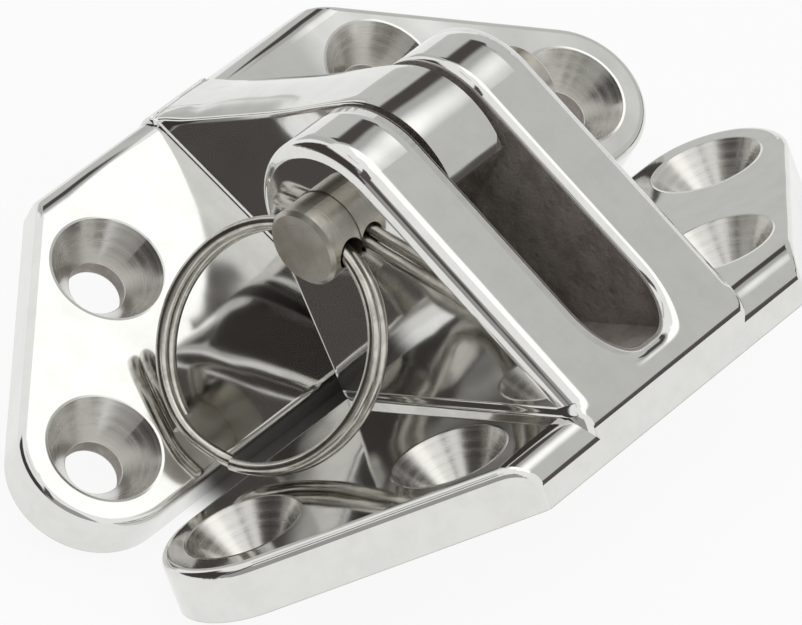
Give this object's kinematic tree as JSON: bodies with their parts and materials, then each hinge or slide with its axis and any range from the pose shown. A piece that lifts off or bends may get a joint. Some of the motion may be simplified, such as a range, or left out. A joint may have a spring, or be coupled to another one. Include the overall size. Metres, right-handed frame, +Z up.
{
  "type": "take-apart hatch hinge",
  "caption": "Polished steel hatch hinge: a forked leaf and a webbed leaf turn on a loose pin that a split ring draws out to part them.",
  "frame": {"origin": "on the floor under the middle of the pin, at the centre of the box's underside", "axes": "+X along the pin away from the pull ring, +Y over the base leaf with the web, -Y over the forked hatch leaf, +Z up"},
  "size_m": [0.077, 0.0584, 0.0306],
  "materials": {
    "leaf_steel": "mirror polished cast stainless steel",
    "pin_steel": "satin turned stainless steel",
    "ring_wire": "drawn stainless wire, semi-gloss",
    "ball_steel": "polished steel",
    "spring_wire": "drawn steel wire"
  },
  "bodies": {
    "base_leaf": {"base_leaf": "leaf_steel"},
    "hatch_leaf": {"hatch_leaf": "leaf_steel"},
    "hinge_pin": {"hinge_pin": "pin_steel", "detent_spring": "spring_wire"},
    "pull_ring": {"pull_ring": "ring_wire"},
    "detent_ball": {"detent_ball": "ball_steel"}
  },
  "joints": [
    {"name": "leaf_swing", "type": "hinge", "parent": "base_leaf", "child": "hatch_leaf", "pos_m": [0, 0, 0.02266], "axis": [-1, 0, 0], "range_deg": [-6, 129.6]},
    {"name": "pin_pull", "type": "slide", "parent": "hatch_leaf", "child": "hinge_pin", "axis": [-1, 0, 0], "range_m": [0, 0.0265], "deforming": ["detent_ball"]},
    {"name": "ring_swing", "type": "hinge", "parent": "hinge_pin", "child": "pull_ring", "pos_m": [-0.01225, 0, 0.02266], "axis": [0, 1, 0], "range_deg": [0, 95]},
    {"name": "ball_press", "type": "slide", "parent": "hinge_pin", "child": "detent_ball", "axis": [0, 0, 1], "range_m": [0, 0.0004], "stiffness_N_per_m": 2500, "deforming": ["detent_spring"]}
  ]
}
